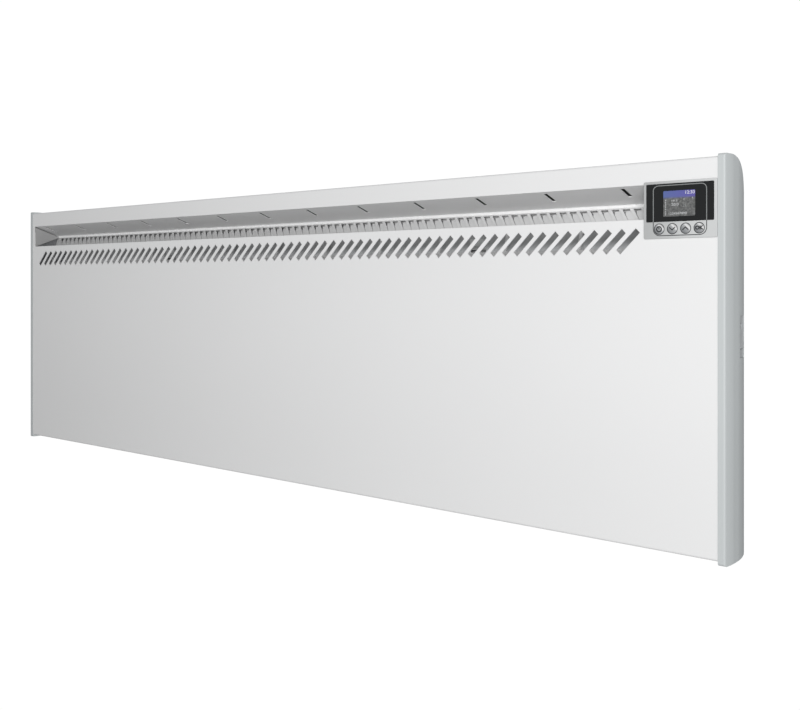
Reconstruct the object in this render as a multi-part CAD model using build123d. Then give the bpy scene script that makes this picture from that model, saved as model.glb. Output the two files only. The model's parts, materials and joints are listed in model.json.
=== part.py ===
from build123d import *
import math
import os

# Wall panel convector heater.
# X runs along the heater (controls at +X), Y runs into the wall, Z is up.
# The origin is the centre of the wall bracket's screw pattern, on the wall.
# Every size is in millimetres.

# ---- casing ------------------------------------------------------------
panel_length = 1240.0      # painted front between the two end caps
panel_height = 394.0
body_depth = 59.0          # painted front to rear skirt
wall_gap = 18.0            # wall to rear skirt
sheet = 1.0                # painted casing steel
inner_sheet = 0.8          # galvanised inner steel
edge_radius = 3.0          # folds along the front's top and bottom
top_radius = 45.5          # big round from the top into the rear skirt
return_depth = 16.0        # floor return folded from the front panel
floor_lap = 12.0           # rear panel floor over that return
skirt_lap = 12.0           # front panel skirt over the rear panel
seat_gap = 0.3             # clearance where rigid pieces seat
overrun = 1.0              # cutters pass a face by this
fold_inside = 0.2          # inner radius of a tight fold

# ---- outlet recess, distances down from the panel's top ----------------
window_top = 23.8
window_bottom = 59.0
window_left_margin = 6.2   # white frame left of the recess
window_corner = 1.2
recess_depth = 47.0        # painted front to the deflector's lip
lip_top = 39.0
lip_bottom = 42.2
deflector_flange = 11.0
cheek_gap = 1.6            # cheek's upper edge below the deflector
slit_pitch = 92.1
slit_length = 21.0
slit_width = 5.0
slit_start = 6.2           # from the painted front
slit_last = 104.1          # rightmost slit from the panel's right end
slit_margin = 30.0         # least room left of the last slit

# ---- slanted slots in the front ----------------------------------------
slot_pitch = 15.67
slot_length = 31.0
slot_width = 6.6
slot_angle = 45.0
slot_centre_down = 80.6
slot_last = 94.4           # rightmost slot from the panel's right end
slot_margin = 30.0         # least room left of the last slot

# ---- louvre plate behind the recess ------------------------------------
louvre_flange_top = 38.5
louvre_bend = 42.4
louvre_foot_bend = 88.0
louvre_foot_end = 104.0
shield_depth = 35.0        # painted front to the middle of the louvre's foot
louvre_pitch = 12.98
louvre_width = 8.6
louvre_height = 16.0       # along the leaning plate
louvre_start = 1.2         # from the bend to the top of an opening
louvre_lean = 33.0
louvre_open_angle = 9.0    # flaps pressed in about their lower edge
louvre_kerf = 0.3          # flap's sides inside the opening's
louvre_root = 0.6          # flap's root below the opening
louvre_notch = 0.9         # flap's upper right corner below the opening's top
louvre_clip = 1.7          # flap's upper left corner below and inside the opening's
louvre_knee = 2.0          # clipped side starts this far above the flap's middle
louvre_margin = 14.0       # least room from an opening's middle to the plate's left end
louvre_last = 101.4        # rightmost opening from the panel's right end
vent_start = 20.0          # from the bend to the vents below the louvres
vent_foot = 1.0            # vents above the foot's bend
vent_count = 12
vent_rib = 4.0

# ---- control module, distances from the panel's right end and top ------
opening_right = 4.0
opening_width = 64.0
opening_top = 24.5
opening_height = 52.9
bezel_over_left = 8.5      # bezel beyond the opening
bezel_over_right = 3.7
bezel_over_top = 3.3
bezel_over_bottom = 1.6
bezel_proud = 1.6
bezel_corner = 1.5
bezel_chamfer = 0.5
bezel_lap = 3.0            # over the window's right end
boss_diameter = 5.0
boss_inset = 4.4           # in from the opening's ends
boss_down = 5.6            # below the opening's top
boss_pilot = 2.0
module_screw = 1.9
module_screw_head = 4.0
module_screw_head_height = 1.6
housing_clearance = 0.4
housing_wall = 1.4
housing_depth = 22.0
lens_side = 3.1            # bezel left and right of the window
lens_head = 2.8            # bezel above the window
lens_sill = 17.0           # bezel below the window, with the buttons
lens_thickness = 1.0
lens_corner = 1.0
display_in_left = 12.4     # display in from the opening's sides
display_in_right = 18.2
display_in_top = 6.7
display_in_bottom = 20.2
display_frame = 3.0
display_sunk = 0.3         # display face behind the window's face
pcb_thickness = 1.6
pcb_behind = 8.0           # panel front to the control board
pcb_edge_gap = 1.0
button_names = ["power", "down", "up", "ok"]
button_in_left = 8.4       # outer buttons' middles in from the opening's sides
button_in_right = 14.2
button_up = 8.1            # above the opening's lower edge
button_diameter = 9.8
button_hole = 11.0
button_proud = 0.5
button_chamfer = 0.4
button_collar = 11.8
button_collar_thickness = 0.9
button_stem = 4.0
button_travel = 0.8
switch_side = 6.0          # tact switch body
switch_height = 3.2
plunger_diameter = 3.2

# ---- end caps ----------------------------------------------------------
cap_bulge = 9.4            # flank beyond the panel at mid depth
cap_front = 7.4            # flank beyond the panel at the front
cap_edge = 3.9             # flank beyond the panel at the rear
cap_rise = 2.4
cap_drop = 3.5
cap_proud = 1.0
cap_wall = 2.0
cap_lap = 3.5              # cap over the casing's end
cap_ledge = 3.0
cap_nose = 2.2             # round from the front into the flank
cap_fit = 0.2
cap_bottom_radius = 6.0
lug_width = 14.0
lug_height = 18.0
lug_below_round = 46.5     # upper lug below the big round
lug_above_floor = 45.0     # lower lug above the floor

# ---- mains switch on the right flank -----------------------------------
mains_depth = 43.0         # painted front to the switch's middle
mains_down = 177.0         # top of the panel to the switch's middle
mains_flange_height = 42.0
mains_flange_width = 16.0
mains_flange = 1.6
mains_body_height = 32.0
mains_body_width = 13.0
mains_body_depth = 22.0
mains_seat = 4.5           # pocket floor beyond the panel's end
mains_seat_wall = 1.8
rocker_height = 24.0
rocker_width = 9.4
rocker_well = 0.3
rocker_tilt = -7.0
rocker_rise = 0.8
rocker_waist = 0.4
rocker_thickness = 4.0
rocker_axle = 3.0
rocker_axle_fit = 0.06
rocker_axle_stub = 1.2
blade_length = 8.0
blade_width = 4.8
blade_pitch = 10.0

# ---- inside ------------------------------------------------------------
partition_room = 3.0       # control partition left of the opening
end_flange = 12.0
shield_bottom = 32.0       # shield's lower edge above the casing's floor
shield_lap = 8.0
shield_hem = 6.0
element_end_room = 59.0    # element to the chamber's end
element_gap = 50.0         # between the two elements
element_up = 95.0          # element axis above the casing's floor
element_arm = 29.0
element_arm_angle = 12.0
element_web = 1.8
element_core = 12.0
element_rib = 5.0
element_rib_steps = [11.0, 18.0, 25.0]
bushing_diameter = 9.0
bushing_length = 14.0
bracket_stand = 6.0        # element end to its bracket
element_bracket_sheet = 1.0
element_bracket_foot = 14.0
element_bracket_height = 52.0
spade_width = 6.3
spade_thickness = 0.8
spade_length = 12.0
cutout_rise = 34.0         # thermal cut-out above the element's arms
cutout_stand = 9.0         # its seat off the rear panel
cutout_width = 18.0        # its bracket's strip
cutout_seat_up = 9.0       # seat above and below the disc's middle
cutout_seat_down = 8.0
cutout_foot = 10.0
cutout_diameter = 15.0
cutout_thickness = 5.0
cutout_top_diameter = 11.0
cutout_top = 3.0
cutout_tab_pitch = 7.0
cutout_tab_width = 3.0
cutout_tab_length = 12.0
cutout_tab_level = 2.0     # tabs' rear face in front of the wide disc
inlet_pitch = 15.67
inlet_width = 5.0
inlet_length = 34.0
inlet_margin = 26.0
standoff_diameter = 6.0
standoff_height = 8.0
power_board_width = 46.0
power_board_right = 17.0
board_below_switch = 12.0  # mains switch to the power board
board_above_block = 12.0   # power board to the terminal block
board_margin = 6.0         # board edge to the parts on it
board_part_gap = 4.0
standoff_inset = 5.0
relay_width = 15.0
relay_height = 28.0
relay_depth = 15.0
transformer_width = 32.0
transformer_frame = 14.0
transformer_depth = 18.0
coil_width = 20.0
coil_height = 26.0
coil_depth = 16.0
gland_diameter = 15.0
gland_nut = 20.0
gland_bore = 8.0
gland_reach = 13.0
gland_inside = 7.0
gland_right = 36.0
gland_up = 22.0            # above the casing's lower edge
gland_hex = 4.0            # thickness of its two hexagons
gland_chamfer = 1.5
block_up = 54.0            # terminal block's middle above the casing's lower edge
block_right = 18.0
block_width = 34.0
block_height = 22.0
block_depth = 17.0
pole_count = 3
pole_pitch = 10.5
pole_screw = 4.6
pole_screw_up = 4.5
pole_depth = 9.0
wire_way = 5.2
wire_way_depth = 3.0       # block's face to the wire way
wire_way_top = 4.0         # below the block's middle
sensor_right = 30.0
sensor_forward = 12.0      # ahead of the casing's middle
sensor_up = 11.0
sensor_diameter = 5.0
sensor_length = 14.0
clip_width = 14.0
clip_depth = 10.0
clip_foot = 2.0
clip_post_width = 4.0
clip_post_depth = 8.0
clip_height = 16.0

# ---- wall bracket ------------------------------------------------------
bracket_sheet = 2.0
bracket_spacing = 600.0    # screw rows, along X
bracket_hole = 7.0
upright_width = 44.0
upright_overhang = 35.0    # upright beyond the screw rows
crossbar_height = 40.0
hook_width = 22.0
hook_lip = 9.0
hook_rise = 40.0           # hook above the lower screw row
slot_play = 1.0
lock_rise = 22.0           # lock nose above the upper screw row
lock_clearance = 17.5      # lock nose below the skirt's edge
lock_travel = 8.0
lock_width = 20.0
lock_lip = 5.0
lock_nose = 4.0
lock_grip = 10.0
lock_hook = 3.0            # thickness of the nose's upturned end
lock_rim = 5.0             # rims beside and behind the finger recess
lock_rim_low = 1.0
lock_rim_high = 2.0

# ---- fasteners ---------------------------------------------------------
screw_head = 6.0
screw_head_height = 1.8
screw_shank = 3.4
screw_length = 7.0
screw_chamfer = 0.5
screw_recess = 3.6
screw_recess_width = 0.9

# ---- places worked out from the sizes above ----------------------------
y_rear = -wall_gap
y_front = y_rear - body_depth
z_top = panel_height / 2
z_bottom = -panel_height / 2
x_right = panel_length / 2
x_left = -x_right
y_back_outer = y_rear - sheet          # rear panel's outer face
y_back_inner = y_rear - 2 * sheet      # rear panel's inner face
z_floor = z_bottom + 2 * sheet         # rear panel's floor, upper face
z_round = z_top - top_radius           # the big round meets the skirt
y_shield = y_front + shield_depth
y_lip = y_front + recess_depth
bezel_right = opening_right - bezel_over_right
bezel_width = opening_width + bezel_over_left + bezel_over_right
bezel_top = opening_top - bezel_over_top
bezel_height = opening_height + bezel_over_top + bezel_over_bottom
lens_right = bezel_right + lens_side
lens_width = bezel_width - 2 * lens_side
lens_top = bezel_top + lens_head
lens_height = bezel_height - lens_head - lens_sill
display_right = opening_right + display_in_right
display_width = opening_width - display_in_left - display_in_right
display_top = opening_top + display_in_top
display_height = opening_height - display_in_top - display_in_bottom
button_down = opening_top + opening_height - button_up
x_partition = x_right - opening_right - opening_width - partition_room
x_window_left = x_left + window_left_margin
x_bezel_left = x_right - bezel_right - bezel_width
x_window_right = x_bezel_left + bezel_lap   # the bezel covers the window's end
y_shield_back = y_shield + inner_sheet * 1.5
chamber_left = x_left + sheet
chamber_right = x_partition
y_bezel = y_front - bezel_proud
y_pcb = y_front + pcb_behind
y_board = y_back_inner - standoff_height - pcb_thickness   # power board's front
lug_levels = [z_round - lug_below_round, z_floor + lug_above_floor]
z_lock = z_round - skirt_lap - lock_clearance   # upper face of a lock's nose at rest
bracket_rise = 2 * (z_lock - lock_rise)         # screw rows, along Z
z_hook = hook_rise - bracket_rise / 2           # upper face of the hooks
element_length = (chamber_right - chamber_left - element_gap) / 2 - element_end_room


def down(distance):
    """Height of a point that lies the given distance below the panel's top."""
    return z_top - distance


def from_right(distance):
    """X of a point that lies the given distance left of the panel's right end."""
    return x_right - distance


def block(x0, x1, y0, y1, z0, z1):
    """A box from its two corners."""
    box = Box(x1 - x0, y1 - y0, z1 - z0, align=(Align.MIN, Align.MIN, Align.MIN))
    return Pos(x0, y0, z0) * box


def front_plane(x, y, z):
    """A plane that looks out of the heater's front, with X to the right and Z up."""
    return Plane((x, y, z), x_dir=(1, 0, 0), z_dir=(0, -1, 0))


def rounded_block(x0, x1, y0, y1, z0, z1, radius):
    """A box whose four edges along Y are rounded."""
    face = RectangleRounded(x1 - x0, z1 - z0, radius)
    return extrude(front_plane((x0 + x1) / 2, y1, (z0 + z1) / 2) * face, amount=y1 - y0)


def rod_y(x, z, diameter, y0, y1):
    """A round bar along Y."""
    return extrude(front_plane(x, y1, z) * Circle(diameter / 2), amount=y1 - y0)


def rod_x(y, z, diameter, x0, x1):
    """A round bar along X."""
    plane = Plane((x0, y, z), x_dir=(0, 1, 0), z_dir=(1, 0, 0))
    return extrude(plane * Circle(diameter / 2), amount=x1 - x0)


def prism_x(face, x0, x1):
    """A section drawn in Y and Z, run from x0 to x1."""
    plane = Plane((x0, 0, 0), x_dir=(0, 1, 0), z_dir=(1, 0, 0))
    return extrude(plane * face, amount=x1 - x0)


def folded_sheet(points, radii, thickness, x0, x1):
    """Sheet metal folded along a middle line drawn in Y and Z."""
    path = FilletPolyline(*points, radius=radii)
    return prism_x(trace(path, line_width=thickness), x0, x1)


def rounded_section(y0, y1, z0, z1, front_top, rear_top, front_bottom, rear_bottom):
    """A rectangle in Y and Z with its own radius at each corner."""
    return make_face([
        Line((y0, z0 + front_bottom), (y0, z1 - front_top)),
        CenterArc((y0 + front_top, z1 - front_top), front_top, 90, 90),
        Line((y0 + front_top, z1), (y1 - rear_top, z1)),
        CenterArc((y1 - rear_top, z1 - rear_top), rear_top, 0, 90),
        Line((y1, z1 - rear_top), (y1, z0 + rear_bottom)),
        CenterArc((y1 - rear_bottom, z0 + rear_bottom), rear_bottom, 270, 90),
        Line((y1 - rear_bottom, z0), (y0 + front_bottom, z0)),
        CenterArc((y0 + front_bottom, z0 + front_bottom), front_bottom, 180, 90),
    ])


def casing_section(inset):
    """The casing's outline, drawn in by the inset."""
    small = max(edge_radius - inset, 0.5)
    return rounded_section(y_front + inset, y_rear - inset, z_bottom + inset, z_top - inset,
                           small, top_radius - inset, small, small)


def screw_y(x, y_seat, z):
    """A pan-head screw driven towards the front, its head seated at y_seat."""
    y_head = y_seat + screw_head_height
    head = rod_y(x, z, screw_head, y_seat, y_head)
    head = chamfer(head.faces().sort_by(Axis.Y)[-1].edges(), screw_chamfer)
    arm, half = screw_recess / 2, screw_recess_width / 2
    y0, y1 = y_head - screw_recess_width, y_head + overrun
    head -= block(x - arm, x + arm, y0, y1, z - half, z + half)
    head -= block(x - half, x + half, y0, y1, z - arm, z + arm)
    return head + rod_y(x, z, screw_shank, y_seat - screw_length, y_seat)


# ---- casing pieces -----------------------------------------------------

def row_leftwards(last, pitch, margin):
    """X of a row that starts at the right and runs left as far as the margin allows."""
    count = int((panel_length - last - margin) // pitch) + 1
    return [from_right(last) - i * pitch for i in range(count)]


def slot_places():
    """X of every slanted slot."""
    return row_leftwards(slot_last, slot_pitch, slot_margin)


def front_panel():
    """Front, top, rear skirt and floor return, folded from one sheet."""
    half = sheet / 2
    lap = cap_lap - cap_fit
    path = [(y_front + return_depth, z_bottom + half), (y_front + half, z_bottom + half),
            (y_front + half, z_top - half), (y_rear - half, z_top - half),
            (y_rear - half, z_round - skirt_lap)]
    fold = edge_radius - half
    panel = folded_sheet(path, [fold, fold, top_radius - half], sheet, x_left - lap, x_right + lap)
    y0, y1 = y_front - sheet, y_front + 2 * sheet
    cuts = [
        rounded_block(x_window_left, x_window_right, y0, y1,
                      down(window_bottom), down(window_top), window_corner),
        rounded_block(from_right(opening_right + opening_width), from_right(opening_right),
                      y0, y1, down(opening_top + opening_height), down(opening_top),
                      window_corner),
    ]
    slot = Rot(0, -slot_angle, 0) * Box(slot_length, 4 * sheet, slot_width)
    cuts += [Pos(x, y_front + sheet / 2, down(slot_centre_down)) * slot for x in slot_places()]
    cuts += [rod_y(x, z_skirt_screw(), screw_shank, y_rear - 2 * sheet, y_rear + sheet)
             for x in skirt_screw_places()]
    return panel - cuts


def skirt_screw_places():
    """X of the screws that hold the skirt to the rear panel."""
    step = (panel_length - 2 * inlet_margin) / 5
    return [x_left + inlet_margin + i * step for i in range(6)]


def z_skirt_screw():
    """Height of the skirt's screws."""
    return z_round - skirt_lap / 2


def inlet_slots():
    """Cutters for the air inlet in the floor."""
    span = panel_length - 2 * inlet_margin
    count = int(span // inlet_pitch)
    middle = (y_front + return_depth + y_back_inner) / 2
    cutter = Box(inlet_width, inlet_length, 6 * sheet)
    first = -(count - 1) * inlet_pitch / 2
    return [Pos(first + i * inlet_pitch, middle, z_floor) * cutter for i in range(count)]


def rear_panel():
    """Rear wall and floor, with the inlet, the hanging slots and the lead's hole."""
    half = sheet / 2
    path = [(y_front + return_depth - floor_lap, z_floor - half),
            (y_back_inner + half, z_floor - half), (y_back_inner + half, z_round)]
    lap = cap_lap - cap_fit
    panel = folded_sheet(path, [edge_radius - half], sheet, x_left - lap, x_right + lap)
    y0, y1 = y_back_inner - sheet, y_rear
    cuts = inlet_slots()
    for x in (-bracket_spacing / 2, bracket_spacing / 2):
        wide = hook_width / 2 + slot_play
        cuts.append(block(x - wide, x + wide, y0, y1,
                          z_hook - bracket_sheet - hook_lip - slot_play, z_hook + seat_gap))
        wide = lock_width / 2 + slot_play
        cuts.append(block(x - wide, x + wide, y0, y1,
                          z_lock - lock_nose - lock_travel - slot_play, z_lock + seat_gap))
    cuts += [rod_y(x, z_skirt_screw(), screw_shank, y0, y1) for x in skirt_screw_places()]
    cuts += [rod_y(x, z, screw_shank, y0, y1) for x, z in lug_screw_places()]
    cuts.append(rod_y(from_right(gland_right), z_bottom + gland_up, gland_diameter + seat_gap,
                      y0, y1))
    return panel - cuts


def end_plate(x0, x1, inward):
    """Sheet wall that closes an end of the casing, with a flange on the rear panel."""
    front = y_front + sheet + seat_gap
    rear = y_back_inner - seat_gap
    round_rear = top_radius - 2 * sheet
    face = rounded_section(front, rear, z_floor + seat_gap, z_top - sheet - seat_gap,
                           edge_radius, round_rear, edge_radius, edge_radius)
    plate = prism_x(face, x0, x1)
    f0, f1 = (x0, x1 + end_flange) if inward > 0 else (x0 - end_flange, x1)
    plate += block(f0, f1, y_back_inner - inner_sheet, y_back_inner,
                   z_floor + 3 * edge_radius, z_round - edge_radius)
    return plate - [rod_y(x, z, screw_shank, y_back_inner - sheet, y_rear)
                    for x, z in lug_screw_places()]


def mains_x():
    """Pocket floor of the mains switch."""
    return x_right + mains_seat


def mains_y():
    """Depth of the mains switch's middle."""
    return y_front + mains_depth


def right_end_plate():
    """Right end plate, cut out round the mains switch."""
    plate = end_plate(x_right - sheet, x_right, -1)
    wide = mains_body_width / 2 + slot_play
    high = mains_body_height / 2 + slot_play
    z = down(mains_down)
    return plate - block(x_right - 2 * sheet, x_right + sheet, mains_y() - wide,
                         mains_y() + wide, z - high, z + high)


def partition():
    """Sheet wall between the hot chamber and the control compartment."""
    front = y_front + sheet + inner_sheet + seat_gap
    face = rounded_section(front, y_back_inner - seat_gap, z_floor + seat_gap,
                           z_top - sheet - seat_gap, edge_radius, top_radius - 2 * sheet,
                           edge_radius, edge_radius)
    plate = prism_x(face, x_partition, x_partition + inner_sheet)
    foot = block(x_partition - end_flange, x_partition + inner_sheet,
                 y_back_inner - inner_sheet, y_back_inner,
                 z_floor + 3 * edge_radius, z_round - edge_radius)
    return plate + foot


# ---- end caps ----------------------------------------------------------

def cap_plan(proud, inset):
    """Plan of a cap's end, with its bulged flank, drawn in by the inset."""
    y0, y1 = y_front - proud + inset, y_rear + proud - inset
    front, edge, bulge = cap_front - inset, cap_edge - inset, cap_bulge - inset
    flank = ThreePointArc((front, y0), (bulge, (y0 + y1) / 2), (edge, y1))
    plan = make_face([flank, Line((edge, y1), (-cap_lap, y1)),
                      Line((-cap_lap, y1), (-cap_lap, y0)), Line((-cap_lap, y0), (front, y0))])
    corners = plan.vertices().sort_by(Axis.X)[-2:]
    return fillet(corners, cap_nose)


def cap_body():
    """The outer form of a right-hand cap: its plan run upwards within its side view."""
    bottom, top = z_bottom - cap_drop, z_top + cap_rise
    flank = extrude(Pos(x_right, 0, bottom) * cap_plan(cap_proud, 0), amount=top - bottom)
    side = rounded_section(y_front - cap_proud, y_rear + cap_proud, bottom, top,
                           edge_radius, top_radius + cap_rise, edge_radius, cap_bottom_radius)
    return flank & prism_x(side, x_right - cap_lap, x_right + cap_bulge)


def cap_hollow():
    """The space inside a cap, behind the ledge that the sheet ends meet."""
    flank = extrude(Pos(x_right, 0, z_bottom) * cap_plan(0, cap_wall), amount=panel_height)
    return flank & prism_x(casing_section(cap_ledge), x_right, x_right + cap_bulge)


def lug_screw_places():
    """X and Z of the screws in the caps' rear lugs."""
    x = x_right - lug_width / 2 + cap_lap / 2 - cap_lap
    return [(side * x, z) for side in (-1, 1) for z in lug_levels]


def end_cap():
    """A right-hand cap: wraps the casing's end and is screwed on by its rear lugs."""
    socket = prism_x(casing_section(-cap_fit), x_right - 2 * cap_lap, x_right + cap_lap)
    cap = cap_body() - socket - cap_hollow()
    keep = block(x_right, x_right + 2 * cap_bulge, y_front - 2 * cap_proud,
                 y_rear + 2 * cap_proud, z_bottom - 2 * cap_drop, z_top + 2 * cap_rise)
    cap = cap & keep
    for z in lug_levels:
        lug = block(x_right - lug_width, x_right + sheet, y_back_outer, y_rear + cap_proud,
                    z - lug_height / 2, z + lug_height / 2)
        cap = cap + lug
    cap = cap - [rod_y(x, z, screw_shank + 0.4, y_back_outer - 1, y_rear + 2 * cap_proud)
                 for x, z in lug_screw_places() if x > 0]
    return cap


def right_end_cap():
    """Right cap with the pocket of the mains switch in its flank."""
    cap = end_cap()
    z = down(mains_down)
    wide = mains_flange_width / 2
    high = mains_flange_height / 2
    frame = cap_wall
    boss = block(mains_x() - mains_seat_wall, mains_x() + cap_bulge, mains_y() - wide - frame,
                 mains_y() + wide + frame, z - high - frame, z + high + frame) & cap_body()
    cap = cap + boss
    cap = cap - block(mains_x(), mains_x() + cap_bulge, mains_y() - wide - cap_fit,
                      mains_y() + wide + cap_fit, z - high - cap_fit, z + high + cap_fit)
    wide = mains_body_width / 2 + seat_gap
    high = mains_body_height / 2 + seat_gap
    return cap - block(x_right, mains_x() + 1, mains_y() - wide, mains_y() + wide,
                       z - high, z + high)


def left_end_cap():
    """Left cap, the mirror of the plain right-hand cap."""
    return mirror(end_cap(), about=Plane.YZ)


# ---- outlet ------------------------------------------------------------

def deflector():
    """Ceiling of the recess: flange behind the front, sloping roof and lip."""
    half = inner_sheet / 2
    y_flange = y_front + sheet + half
    path = [(y_flange, down(window_top - deflector_flange)), (y_flange, down(window_top) + half),
            (y_lip + half, down(lip_top) + half), (y_lip + half, down(lip_bottom))]
    roof = folded_sheet(path, [half + fold_inside, half + fold_inside], inner_sheet,
                        chamber_left + seat_gap, chamber_right - seat_gap)
    cutter = block(-slit_width / 2, slit_width / 2, y_front + slit_start,
                   y_front + slit_start + slit_length, down(lip_bottom), down(window_top - overrun))
    places = row_leftwards(slit_last, slit_pitch, slit_margin)
    return roof - [Pos(x, 0, 0) * cutter for x in places]


def cheek(x0, x1, flange_x0, flange_x1):
    """Triangular cheek that closes the recess, with a flange behind the front."""
    y0 = y_front + sheet
    face = make_face(Polyline(
        (y0, down(window_top + cheek_gap)), (y_lip - seat_gap, down(lip_top + cheek_gap)),
        (y_lip - seat_gap, down(lip_bottom)), (y0, down(window_bottom)), close=True))
    flange = block(flange_x0, flange_x1, y0, y0 + inner_sheet,
                   down(window_bottom), down(window_top + cheek_gap))
    return prism_x(face, x0, x1) + flange


def louvre_line():
    """Ends of the leaning face's middle line in Y and Z: the bend and the foot."""
    bend = Vector(y_lip + 1.5 * inner_sheet, down(louvre_bend))
    return bend, Vector(y_shield, down(louvre_foot_bend))


def louvre_plane():
    """The leaning face of the louvre plate: local X along the heater, local Y up it."""
    bend, foot = louvre_line()
    rise = (bend - foot).normalized()
    return Plane((0, bend.X, bend.Y), x_dir=(1, 0, 0), z_dir=(0, -rise.Y, rise.X))


def leaning(width, low, high, slope):
    """A parallelogram between two heights of the louvre plate that leans to the left."""
    half = width / 2
    return make_face(Polyline((-half - low * slope, low), (half - low * slope, low),
                              (half - high * slope, high), (-half - high * slope, high),
                              close=True))


def louvre():
    """Cutter of one opening and the clipped flap pressed in behind it."""
    slope = math.tan(math.radians(louvre_lean))
    half_height = louvre_height / 2
    half = inner_sheet / 2
    opening = leaning(louvre_width, -half_height, half_height, slope)
    cutter = extrude(opening, amount=3 * inner_sheet, both=True)
    side = louvre_width / 2 - louvre_kerf
    foot, head = -half_height - louvre_root, half_height - louvre_notch
    clip = half_height - louvre_clip
    outline = Polyline((-side - foot * slope, foot), (side - foot * slope, foot),
                       (side - head * slope, head), (-side + louvre_clip - clip * slope, clip),
                       (-side - louvre_knee * slope, louvre_knee), close=True)
    flap = Pos(0, 0, -half) * extrude(make_face(outline), amount=inner_sheet)
    flap = flap.rotate(Axis((0, -half_height, 0), (1, 0, 0)), -louvre_open_angle)
    return cutter, flap


def louvre_plate():
    """Plate at the back of the recess: a row of leaning louvres and vents below them."""
    half = inner_sheet / 2
    y_top = y_lip + inner_sheet + half
    path = [(y_top, down(louvre_flange_top)), (y_top, down(louvre_bend)),
            (y_shield, down(louvre_foot_bend)), (y_shield, down(louvre_foot_end))]
    x0, x1 = chamber_left + seat_gap, chamber_right - seat_gap
    tight = half + fold_inside
    plate = folded_sheet(path, [tight, tight], inner_sheet, x0, x1)

    plane = louvre_plane()
    cutter, flap = louvre()
    level = -louvre_start - louvre_height / 2
    places = row_leftwards(louvre_last, louvre_pitch, louvre_margin)
    plate = plate - [plane * Pos(x, level, 0) * cutter for x in places]
    plate = plate + [plane * Pos(x, level, 0) * flap for x in places]

    bend, foot = louvre_line()
    tall = (bend - foot).length - vent_start - vent_foot
    pitch = (x1 - x0 - vent_rib) / vent_count
    vent = Box(pitch - vent_rib, tall, 3 * inner_sheet)
    first = x0 + (pitch + vent_rib) / 2
    return plate - [plane * Pos(first + i * pitch, -vent_start - tall / 2, 0) * vent
                    for i in range(vent_count)]


def shield():
    """Inner sheet that keeps the front cool: hangs on the louvre's foot."""
    y = y_shield + inner_sheet
    bottom = z_floor + shield_bottom
    path = [(y, down(louvre_foot_end - shield_lap)), (y, bottom), (y + shield_hem, bottom)]
    return folded_sheet(path, [inner_sheet], inner_sheet,
                        chamber_left + seat_gap, chamber_right - seat_gap)


# ---- heating -----------------------------------------------------------

def element_axis():
    """Y and Z of the elements' axis, midway between shield and rear panel."""
    return (y_shield_back + y_back_inner) / 2, z_floor + element_up


def element_middles():
    """X of the two elements' middles."""
    middle = (chamber_left + chamber_right) / 2
    offset = (element_length + element_gap) / 2
    return [middle - offset, middle + offset]


def element(x):
    """Extruded aluminium element: a core with four ribbed arms in an X."""
    y, z = element_axis()
    profile = Circle(element_core / 2)
    for side in (0, 180):
        for lean in (-element_arm_angle, element_arm_angle):
            turn = Rot(0, 0, side + lean)
            profile += turn * Pos(0, element_arm / 2) * Rectangle(element_web, element_arm)
            for step in element_rib_steps:
                profile += turn * Pos(0, step) * Rectangle(element_rib, element_web)
    profile -= Circle(element_core / 2 - 2 * element_web)
    half = element_length / 2
    plane = Plane((x - half, y, z), x_dir=(0, 1, 0), z_dir=(1, 0, 0))
    return extrude(plane * profile, amount=element_length)


def element_ends():
    """X of each element end, with the direction that points away from the element."""
    half = element_length / 2
    return [(x + side * half, side) for x in element_middles() for side in (-1, 1)]


def span_x(a, b):
    """Two X values in rising order."""
    return min(a, b), max(a, b)


def element_bracket(x, side):
    """Bracket that carries an element end between the shield and the rear panel."""
    y, z = element_axis()
    w0, w1 = span_x(x + side * bracket_stand, x + side * (bracket_stand + element_bracket_sheet))
    f0, f1 = span_x(x + side * bracket_stand, x + side * (bracket_stand + element_bracket_foot))
    z0, z1 = z - element_bracket_height / 2, z + element_bracket_height / 2
    t = element_bracket_sheet
    web = block(w0, w1, y_shield_back, y_back_inner, z0, z1)
    feet = block(f0, f1, y_shield_back, y_shield_back + t, z0, z1)
    feet += block(f0, f1, y_back_inner - t, y_back_inner, z0, z1)
    return web + feet - rod_x(y, z, bushing_diameter + 2 * seat_gap, w0 - 1, w1 + 1)


def element_bushing(x, side):
    """Ceramic bush from an element's end through its bracket."""
    y, z = element_axis()
    x0, x1 = span_x(x, x + side * bushing_length)
    return rod_x(y, z, bushing_diameter, x0, x1)


def element_terminal(x, side):
    """Spade terminal on the end of a bush."""
    y, z = element_axis()
    x0, x1 = span_x(x + side * bushing_length, x + side * (bushing_length + spade_length))
    return block(x0, x1, y - spade_thickness / 2, y + spade_thickness / 2,
                 z - spade_width / 2, z + spade_width / 2)


def cutout_place():
    """X and Z of the thermal cut-out, above the middle of the right element."""
    _, z = element_axis()
    return element_middles()[1], z + element_arm + cutout_rise


def cutout_bracket():
    """Bent strip that holds the thermal cut-out off the rear panel."""
    x, z = cutout_place()
    x0, x1 = x - cutout_width / 2, x + cutout_width / 2
    t, y_seat, z_bend = inner_sheet, y_back_inner - cutout_stand, z - cutout_seat_down
    foot = block(x0, x1, y_back_inner - t, y_back_inner, z_bend - cutout_foot, z_bend)
    riser = block(x0, x1, y_seat, y_back_inner, z_bend - t, z_bend)
    seat = block(x0, x1, y_seat, y_seat + t, z_bend - t, z + cutout_seat_up)
    return foot + riser + seat


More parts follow.
